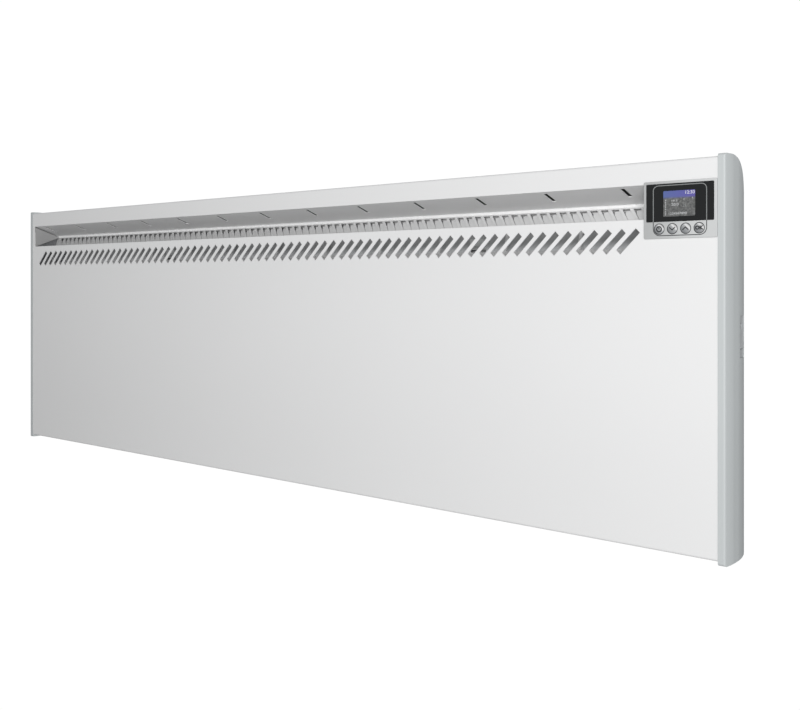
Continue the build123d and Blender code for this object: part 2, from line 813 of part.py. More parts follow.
def thermal_cutout():
    """Disc thermostat with its two tabs, on the front of its bracket."""
    x, z = cutout_place()
    y = y_back_inner - cutout_stand
    y_wide = y - cutout_thickness
    disc = rod_y(x, z, cutout_diameter, y_wide, y)
    disc += rod_y(x, z, cutout_top_diameter, y_wide - cutout_top, y_wide)
    y_tab = y_wide - cutout_tab_level
    for side in (-1, 1):
        x_tab = x + side * cutout_tab_pitch / 2
        disc += block(x_tab - cutout_tab_width / 2, x_tab + cutout_tab_width / 2,
                      y_tab, y_tab + spade_thickness, z, z + cutout_tab_length)
    return disc


# ---- control module ----------------------------------------------------

def module_box(right, width, top, height, y0, y1, radius):
    """A rounded box placed from the panel's right end and top."""
    return rounded_block(from_right(right + width), from_right(right), y0, y1,
                         down(top + height), down(top), radius)


def button_places():
    """X of the four buttons, from left to right."""
    first = from_right(opening_right + opening_width - button_in_left)
    last = from_right(opening_right + button_in_right)
    step = (last - first) / (len(button_names) - 1)
    return [first + i * step for i in range(len(button_names))]


def boss_places():
    """X and Z of the two screw bosses inside the module's housing."""
    z = down(opening_top + boss_down)
    return [(from_right(opening_right + opening_width - boss_inset), z),
            (from_right(opening_right + boss_inset), z)]


def bezel():
    """Moulded frame on the front, with the housing that passes through the panel."""
    plate = module_box(bezel_right, bezel_width, bezel_top, bezel_height,
                       y_bezel, y_front, bezel_corner)
    rim = plate.faces().sort_by(Axis.Y)[0].edges()
    plate = chamfer(rim, bezel_chamfer)
    c = housing_clearance
    w = housing_wall
    y1 = y_front + housing_depth
    outer = module_box(opening_right + c, opening_width - 2 * c, opening_top + c,
                       opening_height - 2 * c, y_front, y1, window_corner)
    inner = module_box(opening_right + c + w, opening_width - 2 * (c + w), opening_top + c + w,
                       opening_height - 2 * (c + w), y_front, y1 + 1, window_corner)
    body = plate + (outer - inner)
    body += [rod_y(x, z, boss_diameter, y_front, y_pcb) for x, z in boss_places()]
    body -= module_box(lens_right - cap_fit, lens_width + 2 * cap_fit, lens_top - cap_fit,
                       lens_height + 2 * cap_fit, y_bezel - 1, y_bezel + lens_thickness,
                       lens_corner)
    body -= module_box(display_right, display_width, display_top, display_height,
                       y_bezel - 1, y_front + 1, lens_corner)
    body -= [rod_y(x, down(button_down), button_hole, y_bezel - 1, y_front + 1)
             for x in button_places()]
    return body - [rod_y(x, z, boss_pilot, y_front + overrun, y_pcb + overrun)
                   for x, z in boss_places()]


def lens():
    """Dark window in the bezel's pocket, open over the display."""
    window = module_box(lens_right, lens_width, lens_top, lens_height,
                        y_bezel, y_bezel + lens_thickness, lens_corner)
    return window - module_box(display_right, display_width, display_top, display_height,
                               y_bezel - 1, y_front, lens_corner)


def display():
    """Display module between the bezel's back and the control board."""
    f = display_frame
    back = module_box(display_right - f, display_width + 2 * f, display_top - f / 2,
                      display_height + f, y_front, y_pcb, lens_corner)
    glass = module_box(display_right + cap_fit, display_width - 2 * cap_fit,
                       display_top + cap_fit, display_height - 2 * cap_fit,
                       y_bezel + display_sunk, y_front, lens_corner)
    return back + glass


def control_board():
    """Circuit board of the control module."""
    e = housing_clearance + housing_wall + pcb_edge_gap
    board = module_box(opening_right + e, opening_width - 2 * e, opening_top + e,
                       opening_height - 2 * e, y_pcb, y_pcb + pcb_thickness, window_corner)
    return board - [rod_y(x, z, boss_pilot, y_pcb - overrun, y_pcb + pcb_thickness + overrun)
                    for x, z in boss_places()]


def tact_switch(x):
    """Tact switch on the control board behind one button."""
    z = down(button_down)
    half = switch_side / 2
    body = block(x - half, x + half, y_pcb - switch_height, y_pcb, z - half, z + half)
    reach = y_front + seat_gap + button_collar_thickness + button_travel + 2 * seat_gap
    return body + rod_y(x, z, plunger_diameter, reach, y_pcb - switch_height)


def button(x):
    """Push button with its retaining collar and stem."""
    z = down(button_down)
    y_face = y_bezel - button_proud
    head = rod_y(x, z, button_diameter, y_face, y_front + seat_gap)
    head = chamfer(head.faces().sort_by(Axis.Y)[0].edges(), button_chamfer)
    y_collar = y_front + seat_gap
    return head + rod_y(x, z, button_collar, y_collar, y_collar + button_collar_thickness)


def module_screws():
    """Screws that hold the control board to the bezel's bosses."""
    parts = []
    for x, z in boss_places():
        y = y_pcb + pcb_thickness
        head = rod_y(x, z, module_screw_head, y, y + module_screw_head_height)
        parts.append(head + rod_y(x, z, module_screw, y_front + 2 * overrun, y))
    return parts


# ---- mains switch ------------------------------------------------------

def mains_switch_body():
    """Switch housing with its flange in the cap's pocket and a well for the rocker."""
    z = down(mains_down)
    y = mains_y()
    x0 = mains_x()
    flange = block(x0, x0 + mains_flange, y - mains_flange_width / 2, y + mains_flange_width / 2,
                   z - mains_flange_height / 2, z + mains_flange_height / 2)
    body = block(x0 - mains_body_depth, x0, y - mains_body_width / 2, y + mains_body_width / 2,
                 z - mains_body_height / 2, z + mains_body_height / 2)
    wide = rocker_width / 2 + rocker_well
    high = rocker_height / 2 + 3 * rocker_well
    well = block(x0 - 2 * rocker_thickness, x0 + mains_flange + 1, y - wide, y + wide,
                 z - high, z + high)
    holes = rod_y(rocker_pivot_x(), z, rocker_axle + 2 * rocker_axle_fit,
                  y - wide - rocker_axle_stub - rocker_axle_fit,
                  y + wide + rocker_axle_stub + rocker_axle_fit)
    x_end = x0 - mains_body_depth
    blades = [block(x_end - blade_length, x_end, y - blade_width / 2, y + blade_width / 2,
                    z + i * blade_pitch - spade_thickness / 2,
                    z + i * blade_pitch + spade_thickness / 2) for i in (-1, 0, 1)]
    return flange + body - well - holes + blades


def rocker_pivot_x():
    """X of the rocker's axle."""
    return mains_x() - rocker_thickness / 2


def rocker():
    """Rocker with its stub axles, tilted to its off position."""
    z = down(mains_down)
    y = mains_y()
    x = rocker_pivot_x()
    half = rocker_height / 2
    face_x = mains_x() + mains_flange
    plane = Plane((0, y + rocker_width / 2, 0), x_dir=(1, 0, 0), z_dir=(0, -1, 0))
    outline = make_face(Polyline(
        (face_x + rocker_waist, z), (face_x + rocker_rise, z + half), (x, z + half),
        (x - rocker_thickness / 2, z + half / 3), (x - rocker_thickness / 2, z - half / 3),
        (x, z - half), (face_x + rocker_rise, z - half), close=True))
    body = extrude(plane * outline, amount=rocker_width)
    stub = rocker_width / 2 + rocker_well + rocker_axle_stub
    body += rod_y(x, z, rocker_axle, y - stub, y + stub)
    return body.rotate(Axis((x, y, z), (0, 1, 0)), rocker_tilt)


# ---- control compartment -----------------------------------------------

def power_board_box():
    """X range and Z range of the power board, between mains switch and terminal block."""
    x1 = from_right(power_board_right)
    z0 = z_bottom + block_up + block_height / 2 + board_above_block
    z1 = down(mains_down) - mains_body_height / 2 - board_below_switch
    return x1 - power_board_width, x1, z0, z1


def power_board():
    """Mains board on its standoffs."""
    x0, x1, z0, z1 = power_board_box()
    return block(x0, x1, y_board, y_board + pcb_thickness, z0, z1)


def standoffs():
    """Four standoffs between the mains board and the rear panel."""
    x0, x1, z0, z1 = power_board_box()
    inset = standoff_inset
    places = [(x, z) for x in (x0 + inset, x1 - inset) for z in (z0 + inset, z1 - inset)]
    return [rod_y(x, z, standoff_diameter, y_board + pcb_thickness, y_back_inner)
            for x, z in places]


def on_board(x_middle, z_middle, width, height, depth):
    """A block that stands on the mains board's front."""
    return block(x_middle - width / 2, x_middle + width / 2, y_board - depth, y_board,
                 z_middle - height / 2, z_middle + height / 2)


def relay():
    """Power relay on the mains board."""
    x0, _, z0, _ = power_board_box()
    return on_board(x0 + board_margin + relay_width / 2, z0 + board_margin + relay_height / 2,
                    relay_width, relay_height, relay_depth)


def transformer():
    """Supply transformer above the relay: its coil in a laminated frame."""
    x0, _, z0, _ = power_board_box()
    x = x0 + board_margin + transformer_width / 2
    z = z0 + board_margin + relay_height + board_part_gap + coil_height / 2
    frame = on_board(x, z, transformer_width, transformer_frame, transformer_depth)
    return frame + on_board(x, z, coil_width, coil_height, coil_depth)


def terminal_block():
    """Screw terminals on the rear panel."""
    x1 = from_right(block_right)
    x_middle = x1 - block_width / 2
    z = z_bottom + block_up
    y_face = y_back_inner - block_depth
    body = block(x1 - block_width, x1, y_face, y_back_inner,
                 z - block_height / 2, z + block_height / 2)
    for i in range(pole_count):
        x = x_middle + (i - (pole_count - 1) / 2) * pole_pitch
        body -= rod_y(x, z + pole_screw_up, pole_screw, y_face - overrun, y_face + pole_depth)
        body -= block(x - wire_way / 2, x + wire_way / 2, y_face + wire_way_depth,
                      y_face + pole_depth, z - block_height / 2 - overrun, z - wire_way_top)
    return body


def hexagon(x, y, z):
    """A nut-shaped collar of the gland that starts at depth y."""
    plane = Plane((x, y, z), x_dir=(1, 0, 0), z_dir=(0, 1, 0))
    return extrude(plane * RegularPolygon(gland_nut / 2, 6), amount=gland_hex)


def gland():
    """Cable gland in the rear panel, with its clamping nut outside."""
    x, z = from_right(gland_right), z_bottom + gland_up
    barrel = rod_y(x, z, gland_diameter, y_back_inner - gland_inside, y_back_outer)
    y_nut = y_back_outer + gland_hex
    nut = rod_y(x, z, gland_nut - 2 * gland_chamfer, y_nut, y_back_outer + gland_reach)
    nut = chamfer(nut.faces().sort_by(Axis.Y)[-1].edges(), gland_chamfer)
    bore = rod_y(x, z, gland_bore, y_back_inner - 2 * gland_inside, 0)
    collars = hexagon(x, y_back_outer, z) + hexagon(x, y_back_inner - gland_hex, z)
    return barrel + collars + nut - bore


def sensor_place():
    """X, Y and Z of the room sensor's axis over the inlet."""
    return from_right(sensor_right), (y_front + y_rear) / 2 - sensor_forward, z_floor + sensor_up


def sensor_holder():
    """Clip on the floor that holds the room sensor."""
    x, y, z = sensor_place()
    foot = block(x - clip_width / 2, x + clip_width / 2, y - clip_depth / 2, y + clip_depth / 2,
                 z_floor, z_floor + clip_foot)
    post = block(x - clip_post_width / 2, x + clip_post_width / 2, y - clip_post_depth / 2,
                 y + clip_post_depth / 2, z_floor + clip_foot, z_floor + clip_height)
    return foot + post - rod_x(y, z, sensor_diameter + cap_fit, x - clip_width, x + clip_width)


def room_sensor():
    """Bead sensor in its clip."""
    x, y, z = sensor_place()
    return rod_x(y, z, sensor_diameter, x - sensor_length / 2, x + sensor_length / 2)


# ---- wall bracket ------------------------------------------------------

def upright(x):
    """One upright of the bracket, with side flanges and the lower hook."""
    z0 = -bracket_rise / 2 - upright_overhang
    z1 = bracket_rise / 2 + upright_overhang
    half = upright_width / 2
    reach = y_back_outer + seat_gap
    part = block(x - half, x + half, -bracket_sheet, 0, z0, z1)
    for side in (-1, 1):
        a, b = span_x(x + side * half, x + side * (half - bracket_sheet))
        part += block(a, b, reach, 0, z0, z1)
    wide = hook_width / 2
    y_tip = y_back_inner - seat_gap - bracket_sheet
    z = z_hook
    part += block(x - wide, x + wide, y_tip, 0, z - bracket_sheet, z)
    part += block(x - wide, x + wide, y_tip, y_tip + bracket_sheet, z - bracket_sheet, z + hook_lip)
    return part


def wall_bracket():
    """Two uprights joined by a crossbar, with four wall screw holes."""
    half = bracket_spacing / 2
    bar = crossbar_height / 2
    part = upright(-half) + upright(half)
    part += block(-half, half, -bracket_sheet, 0, -bar, bar)
    lip = 3 * bracket_sheet
    edge = half - upright_width / 2
    for side in (-1, 1):
        a, b = span_x(side * bar, side * (bar - bracket_sheet))
        part += block(-edge, edge, -lip, 0, a, b)
    holes = [(x, z) for x in (-half, half) for z in (-bracket_rise / 2, bracket_rise / 2)]
    return part - [rod_y(x, z, bracket_hole, -wall_gap, 1) for x, z in holes]


def bracket_lock(x):
    """Sliding lock at the top of an upright: its nose catches the rear panel's slot."""
    z = z_lock
    wide = upright_width / 2 - bracket_sheet - seat_gap
    body = block(x - wide, x + wide, y_back_outer + 2 * seat_gap, -bracket_sheet - seat_gap,
                 z - 2 * lock_nose, z + lock_grip)
    body -= block(x - wide + lock_rim, x + wide - lock_rim, -wall_gap, -bracket_sheet - lock_rim,
                  z + lock_rim_low, z + lock_grip - lock_rim_high)
    half = lock_width / 2
    y_tip = y_back_inner - seat_gap - lock_hook
    body += block(x - half, x + half, y_tip, y_back_outer + 2 * seat_gap, z - lock_nose, z)
    return body + block(x - half, x + half, y_tip, y_back_inner - seat_gap,
                        z - lock_nose, z + lock_lip)


# ---- write every piece -------------------------------------------------

def pieces():
    """Every sub-part by its node name."""
    half = bracket_spacing / 2
    parts = {
        "front_panel": front_panel(),
        "rear_panel": rear_panel(),
        "left_end_cap": left_end_cap(),
        "right_end_cap": right_end_cap(),
        "end_plate_left": end_plate(x_left, x_left + sheet, 1),
        "end_plate_right": right_end_plate(),
        "control_partition": partition(),
        "outlet_deflector": deflector(),
        "outlet_louvre": louvre_plate(),
        "outlet_cheek_left": cheek(x_window_left - inner_sheet, x_window_left,
                                   chamber_left + seat_gap, x_window_left),
        "outlet_cheek_right": cheek(x_window_right, x_window_right + inner_sheet,
                                    x_window_right, x_partition + inner_sheet),
        "heat_shield": shield(),
        "heating_element_left": element(element_middles()[0]),
        "heating_element_right": element(element_middles()[1]),
        "element_brackets": [element_bracket(x, side) for x, side in element_ends()],
        "element_bushings": [element_bushing(x, side) for x, side in element_ends()],
        "element_terminals": [element_terminal(x, side) for x, side in element_ends()],
        "cutout_bracket": cutout_bracket(),
        "thermal_cutout": thermal_cutout(),
        "control_bezel": bezel(),
        "display_window": lens(),
        "lcd_module": display(),
        "control_pcb": control_board(),
        "tact_switches": [tact_switch(x) for x in button_places()],
        "module_screws": module_screws(),
        "mains_switch_body": mains_switch_body(),
        "mains_rocker": rocker(),
        "power_pcb": power_board(),
        "pcb_standoffs": standoffs(),
        "power_relay": relay(),
        "supply_transformer": transformer(),
        "terminal_block": terminal_block(),
        "cable_gland": gland(),
        "sensor_holder": sensor_holder(),
        "room_sensor": room_sensor(),
        "wall_bracket": wall_bracket(),
        "bracket_lock_left": bracket_lock(-half),
        "bracket_lock_right": bracket_lock(half),
        "cap_screws": [screw_y(x, y_rear + cap_proud, z) for x, z in lug_screw_places()],
        "rear_panel_screws": [screw_y(x, y_rear, z_skirt_screw()) for x in skirt_screw_places()],
    }
    for name, x in zip(button_names, button_places()):
        parts["button_" + name] = button(x)
    return parts


def main():
    """Write one STEP file for each sub-part."""
    os.makedirs("parts", exist_ok=True)
    for name, shape in pieces().items():
        if isinstance(shape, list):
            shape = Compound(children=[item.solid() for item in shape])
        export_step(shape, f"parts/{name}.step")


main()
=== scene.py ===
import math

import bmesh
import bpy
from mathutils import Matrix, Vector
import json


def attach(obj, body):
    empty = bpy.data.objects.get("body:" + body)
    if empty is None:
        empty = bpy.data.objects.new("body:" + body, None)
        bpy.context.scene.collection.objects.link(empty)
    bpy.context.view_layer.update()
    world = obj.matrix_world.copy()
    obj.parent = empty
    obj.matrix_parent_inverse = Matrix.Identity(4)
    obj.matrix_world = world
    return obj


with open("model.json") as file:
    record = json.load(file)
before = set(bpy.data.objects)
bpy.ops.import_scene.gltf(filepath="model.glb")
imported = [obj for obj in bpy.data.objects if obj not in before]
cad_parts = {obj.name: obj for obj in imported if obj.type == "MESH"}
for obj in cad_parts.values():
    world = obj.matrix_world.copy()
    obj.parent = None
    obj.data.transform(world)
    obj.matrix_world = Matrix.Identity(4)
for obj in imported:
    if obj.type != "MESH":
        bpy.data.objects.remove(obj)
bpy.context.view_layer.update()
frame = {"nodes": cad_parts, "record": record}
nodes = frame["nodes"]

MM = 0.001

# Places shared with the solids, in millimetres in the row frame.
PANEL_RIGHT = 620.0
PANEL_TOP = 197.0
FRONT_FACE = -77.0
LIP_TOP = 158.0
REAR_INSIDE = -20.0
CORNER_Y = -63.5
CORNER_Z = 151.5
CORNER_RADIUS = 45.5
BEZEL_FACE = -78.6
DISPLAY_FACE = -78.3
BUTTON_FACE = -79.1
BUTTON_FIRST = 59.6
BUTTON_PITCH = 13.8
BUTTON_DOWN = 69.3
DISPLAY_LEFT = 55.6
DISPLAY_RIGHT = 22.2
HEADER_FULL = 37.0
HEADER_END = 39.4
WINDOW_FOOT = 62.1

# The printed line round the display and the buttons, and the raised marks.
LINE_ACROSS = 38.3
LINE_DOWN = 50.85
LINE_LENGTH = 56.0
LINE_HEIGHT = 50.9
LINE_UPPER_RADIUS = 5.6
LINE_LOWER_RADIUS = 7.4
LINE_WIDTH = 0.78
LINE_THICK = 0.12
MARK_THICK = 0.06
# Dark rings over the button gaps: painted shade.
GAP_SHADE_RADIUS = 5.6
GAP_SHADE_WIDTH = 0.8
ARROW_ARM = 4.5
ARROW_WIDTH = 1.05
ARROW_REACH = 1.35
ARROW_ANGLE = 42.0

# The camera that was fitted to the panel's edges, in pixels, degrees and millimetres.
PICTURE_WIDTH = 800.0
FOCAL_LENGTH = 962.4
PICTURE_SHIFT = -72.54
CAMERA_TURN = 39.13
CAMERA_RIGHT = 349.3
CAMERA_BACK = 917.6
CAMERA_DOWN = 122.9
SENSOR_WIDTH = 36.0


def across(u):
    """X in millimetres of a point u left of the panel's right end."""
    return PANEL_RIGHT - u


def height(v):
    """Z in millimetres of a point v below the panel's top."""
    return PANEL_TOP - v


# ---- shader groups -----------------------------------------------------

def effect_group(name, inputs, outputs):
    """A node group with its named float inputs and its outputs."""
    group = bpy.data.node_groups.new(name, "ShaderNodeTree")
    for label, value in inputs:
        socket = group.interface.new_socket(name=label, in_out="INPUT",
                                            socket_type="NodeSocketFloat")
        socket.default_value = value
    for label, kind in outputs:
        group.interface.new_socket(name=label, in_out="OUTPUT", socket_type=kind)
    entry = group.nodes.new("NodeGroupInput")
    leave = group.nodes.new("NodeGroupOutput")
    return group, entry, leave


def object_noise(group, entry, scale_input, detail):
    """Noise on Object coordinates whose scale comes from a group input."""
    place = group.nodes.new("ShaderNodeTexCoord")
    noise = group.nodes.new("ShaderNodeTexNoise")
    noise.inputs["Detail"].default_value = detail
    noise.inputs["Roughness"].default_value = 0.6
    group.links.new(place.outputs["Object"], noise.inputs["Vector"])
    group.links.new(entry.outputs[scale_input], noise.inputs["Scale"])
    return noise


def surface_grain():
    """Fine grain of a powder coat or a moulded skin: a height for a bump."""
    group, entry, leave = effect_group(
        "surface_grain",
        [("Grain scale", 900.0), ("Wave scale", 40.0), ("Wave share", 0.3)],
        [("Height", "NodeSocketFloat")])
    fine = object_noise(group, entry, "Grain scale", 2.0)
    wave = object_noise(group, entry, "Wave scale", 1.0)
    share = group.nodes.new("ShaderNodeMath")
    share.operation = "MULTIPLY"
    group.links.new(wave.outputs["Fac"], share.inputs[0])
    group.links.new(entry.outputs["Wave share"], share.inputs[1])
    total = group.nodes.new("ShaderNodeMath")
    total.operation = "ADD"
    group.links.new(fine.outputs["Fac"], total.inputs[0])
    group.links.new(share.outputs[0], total.inputs[1])
    group.links.new(total.outputs[0], leave.inputs["Height"])
    return group


def tone_drift():
    """Slow drift of a colour and of its roughness over a surface."""
    group, entry, leave = effect_group(
        "tone_drift",
        [("Scale", 6.0), ("Dark", 0.96), ("Light", 1.0), ("Rough low", 0.4), ("Rough high", 0.5)],
        [("Tone", "NodeSocketFloat"), ("Roughness", "NodeSocketFloat")])
    drift = object_noise(group, entry, "Scale", 3.0)
    tone = group.nodes.new("ShaderNodeMapRange")
    group.links.new(drift.outputs["Fac"], tone.inputs["Value"])
    group.links.new(entry.outputs["Dark"], tone.inputs["To Min"])
    group.links.new(entry.outputs["Light"], tone.inputs["To Max"])
    rough = group.nodes.new("ShaderNodeMapRange")
    group.links.new(drift.outputs["Fac"], rough.inputs["Value"])
    group.links.new(entry.outputs["Rough low"], rough.inputs["To Min"])
    group.links.new(entry.outputs["Rough high"], rough.inputs["To Max"])
    group.links.new(tone.outputs["Result"], leave.inputs["Tone"])
    group.links.new(rough.outputs["Result"], leave.inputs["Roughness"])
    return group


GRAIN = surface_grain()
DRIFT = tone_drift()


# ---- materials ---------------------------------------------------------

def plain_material(name):
    """An empty node material with its Principled shader."""
    material = bpy.data.materials.new(name)
    material.use_nodes = True
    tree = material.node_tree
    shader = tree.nodes["Principled BSDF"]
    return material, tree, shader


def object_axes(tree):
    """Object coordinates of the surface, and the same split into X, Y and Z."""
    place = tree.nodes.new("ShaderNodeTexCoord")
    split = tree.nodes.new("ShaderNodeSeparateXYZ")
    tree.links.new(place.outputs["Object"], split.inputs["Vector"])
    return place, split


def faded(tree, colour, tone):
    """Multiplies a colour, given as a socket or as three numbers, by a tone."""
    mix = tree.nodes.new("ShaderNodeMix")
    mix.data_type = "RGBA"
    mix.blend_type = "MULTIPLY"
    mix.inputs["Factor"].default_value = 1.0
    if isinstance(colour, tuple):
        mix.inputs["A"].default_value = (*colour, 1.0)
    else:
        tree.links.new(colour, mix.inputs["A"])
    tree.links.new(tone, mix.inputs["B"])
    return mix.outputs["Result"]


def share(tree, value, start, end):
    """How far a value has come from start to end, from 0 to 1."""
    node = tree.nodes.new("ShaderNodeMapRange")
    node.inputs["From Min"].default_value = start
    node.inputs["From Max"].default_value = end
    tree.links.new(value, node.inputs["Value"])
    return node.outputs["Result"]


def place_fade(tree, axis, start, end, low, high):
    """A tone that goes from low to high between two places on an axis, in millimetres."""
    split = object_axes(tree)[1]
    fade = tree.nodes.new("ShaderNodeMapRange")
    fade.interpolation_type = "SMOOTHSTEP"
    fade.inputs["From Min"].default_value = start * MM
    fade.inputs["From Max"].default_value = end * MM
    fade.inputs["To Min"].default_value = low
    fade.inputs["To Max"].default_value = high
    tree.links.new(split.outputs[axis], fade.inputs["Value"])
    return fade.outputs["Result"]


def sums(tree, operation, first, second):
    """A math node; each operand is a socket or a number."""
    node = tree.nodes.new("ShaderNodeMath")
    node.operation = operation
    for i, value in enumerate((first, second)):
        if isinstance(value, (int, float)):
            node.inputs[i].default_value = value
        else:
            tree.links.new(value, node.inputs[i])
    return node.outputs[0]


def casing_inside_painted_shade(tree, tone):
    """A tone over the casing's inner side above the outlet, at its front, top and rear corner:
    painted shade that darkens it.
    """
    split = object_axes(tree)[1]
    join = tree.nodes.new("ShaderNodeCombineXYZ")
    tree.links.new(split.outputs["Y"], join.inputs["Y"])
    tree.links.new(split.outputs["Z"], join.inputs["Z"])
    reach = tree.nodes.new("ShaderNodeVectorMath")
    reach.operation = "DISTANCE"
    reach.inputs[1].default_value = (0.0, CORNER_Y * MM, CORNER_Z * MM)
    tree.links.new(join.outputs["Vector"], reach.inputs[0])
    bend = share(tree, reach.outputs["Value"],
                 (CORNER_RADIUS - 0.3) * MM, (CORNER_RADIUS - 0.6) * MM)
    front = place_fade(tree, "Y", FRONT_FACE + 0.3, FRONT_FACE + 0.6, 0.0, 1.0)
    top = place_fade(tree, "Z", PANEL_TOP - 0.6, PANEL_TOP - 0.3, 1.0, 0.0)
    above = place_fade(tree, "Z", LIP_TOP + 2.0, LIP_TOP + 8.0, 0.0, 1.0)
    inside = sums(tree, "MULTIPLY", sums(tree, "MULTIPLY", front, top), bend)
    inside = sums(tree, "MULTIPLY", inside, above)
    return sums(tree, "SUBTRACT", 1.0, sums(tree, "MULTIPLY", inside, 1.0 - tone))


def rear_wall_painted_light(tree, tone):
    """A tone over the rear sheet, whose inner side is brighter behind the slots' lower ends: a
    painted pool of light.
    """
    inner = place_fade(tree, "Y", REAR_INSIDE + 0.1, REAR_INSIDE + 0.4, 1.0, 0.0)
    lit = sums(tree, "MULTIPLY", place_fade(tree, "Z", 94.0, 102.0, tone, 1.0),
               place_fade(tree, "Z", 111.0, 123.0, 1.0, tone))
    return sums(tree, "MAXIMUM", sums(tree, "MULTIPLY", inner, lit), tone)


def finish_material(name, colour, rough, metallic=0.0, grain=900.0, bump=0.02, drift_scale=6.0,
                    drift=0.03, fades=(), inside=None, rear=None):
    """A solid finish with drift in tone and roughness and a fine grain; fades, inside and rear
    paint light and shade over it by place.
    """
    material, tree, shader = plain_material(name)
    shader.inputs["Metallic"].default_value = metallic
    tone = tree.nodes.new("ShaderNodeGroup")
    tone.node_tree = DRIFT
    tone.inputs["Scale"].default_value = drift_scale
    tone.inputs["Dark"].default_value = 1.0 - drift
    tone.inputs["Light"].default_value = 1.0
    tone.inputs["Rough low"].default_value = rough - 0.04
    tone.inputs["Rough high"].default_value = rough + 0.04
    base = faded(tree, colour, tone.outputs["Tone"])
    # fades: painted light and shade by place.
    for fade in fades:
        base = faded(tree, base, place_fade(tree, *fade))
    # inside: painted shade over the casing's inner side above the outlet.
    if inside is not None:
        base = faded(tree, base, casing_inside_painted_shade(tree, inside))
    # rear: a painted pool of light on the rear sheet's inner side.
    if rear is not None:
        base = faded(tree, base, rear_wall_painted_light(tree, rear))
    tree.links.new(base, shader.inputs["Base Color"])
    tree.links.new(tone.outputs["Roughness"], shader.inputs["Roughness"])
    skin = tree.nodes.new("ShaderNodeGroup")
    skin.node_tree = GRAIN
    skin.inputs["Grain scale"].default_value = grain
    raised = tree.nodes.new("ShaderNodeBump")
    raised.inputs["Strength"].default_value = bump
    raised.inputs["Distance"].default_value = 0.001
    tree.links.new(skin.outputs["Height"], raised.inputs["Height"])
    tree.links.new(raised.outputs["Normal"], shader.inputs["Normal"])
    return material


def display_material():
    """Colour display: a blue header that turns violet, over a grey body."""
    material, tree, shader = plain_material("display_glass")
    shader.inputs["Roughness"].default_value = 0.25
    place, split = object_axes(tree)
    along = share(tree, split.outputs["X"], across(DISPLAY_LEFT) * MM, across(DISPLAY_RIGHT) * MM)
    header = tree.nodes.new("ShaderNodeValToRGB")
    header.color_ramp.elements[0].color = (0.10, 0.14, 0.34, 1.0)
    header.color_ramp.elements[1].color = (0.12, 0.10, 0.36, 1.0)
    tree.links.new(along, header.inputs["Fac"])
    up = share(tree, split.outputs["Z"], height(HEADER_END) * MM, height(HEADER_FULL) * MM)
    cloud = tree.nodes.new("ShaderNodeTexNoise")
    cloud.inputs["Scale"].default_value = 520.0
    cloud.inputs["Detail"].default_value = 2.0
    tree.links.new(place.outputs["Object"], cloud.inputs["Vector"])
    body = tree.nodes.new("ShaderNodeValToRGB")
    body.color_ramp.elements[0].position = 0.35
    body.color_ramp.elements[0].color = (0.085, 0.087, 0.086, 1.0)
    body.color_ramp.elements[1].position = 0.7
    body.color_ramp.elements[1].color = (0.19, 0.192, 0.190, 1.0)
    tree.links.new(cloud.outputs["Fac"], body.inputs["Fac"])
    picture = tree.nodes.new("ShaderNodeMix")
    picture.data_type = "RGBA"
    tree.links.new(up, picture.inputs["Factor"])
    tree.links.new(body.outputs["Color"], picture.inputs["A"])
    tree.links.new(header.outputs["Color"], picture.inputs["B"])
    tree.links.new(picture.outputs["Result"], shader.inputs["Base Color"])
    tree.links.new(picture.outputs["Result"], shader.inputs["Emission Color"])
    shader.inputs["Emission Strength"].default_value = 0.08
    return material


def trim_material():
    """Printed line: light over the dark window, dark over the bezel."""
    material, tree, shader = plain_material("trim_line")
    shader.inputs["Roughness"].default_value = 0.35
    split = object_axes(tree)[1]
    up = share(tree, split.outputs["Z"],
               height(WINDOW_FOOT + 0.2) * MM, height(WINDOW_FOOT - 0.2) * MM)
    tone = tree.nodes.new("ShaderNodeValToRGB")
    tone.color_ramp.elements[0].color = (0.030, 0.033, 0.036, 1.0)
    tone.color_ramp.elements[1].color = (0.27, 0.28, 0.28, 1.0)
    tree.links.new(up, tone.inputs["Fac"])
    tree.links.new(tone.outputs["Color"], shader.inputs["Base Color"])
    return material


def button_material():
    """Silver paint with a painted highlight: each button runs from dark at the lower left to a
    bright band at the upper right.
    """
    material, tree, shader = plain_material("button_silver_painted_highlight")
    shader.inputs["Metallic"].default_value = 0.35
    shader.inputs["Roughness"].default_value = 0.32
    split = object_axes(tree)[1]
    start = (across(BUTTON_FIRST) - BUTTON_PITCH / 2) * MM
    along = sums(tree, "SUBTRACT", split.outputs["X"], start)
    along = sums(tree, "DIVIDE", along, BUTTON_PITCH * MM)
    along = sums(tree, "SUBTRACT", sums(tree, "FRACT", along, 0.0), 0.5)
    rise = sums(tree, "SUBTRACT", split.outputs["Z"], height(BUTTON_DOWN) * MM)
    rise = sums(tree, "DIVIDE", rise, BUTTON_PITCH * MM)
    highlight_sweep = sums(tree, "ADD", sums(tree, "ADD", along, rise), 0.5)
    # Painted highlight and shade: the ramp makes each button dark at the lower left and bright at
    # the upper right.
    tone = tree.nodes.new("ShaderNodeValToRGB")
    ramp = tone.color_ramp
    ramp.elements[0].position = 0.05
    ramp.elements[0].color = (0.26, 0.27, 0.28, 1.0)
    ramp.elements[1].position = 0.60
    ramp.elements[1].color = (0.50, 0.51, 0.52, 1.0)
    for position, value in ((0.74, 0.92), (0.86, 0.88), (1.0, 0.45)):
        ramp.elements.new(position).color = (value, value, value, 1.0)
    tree.links.new(highlight_sweep, tone.inputs["Fac"])
    tree.links.new(tone.outputs["Color"], shader.inputs["Base Color"])
    return material


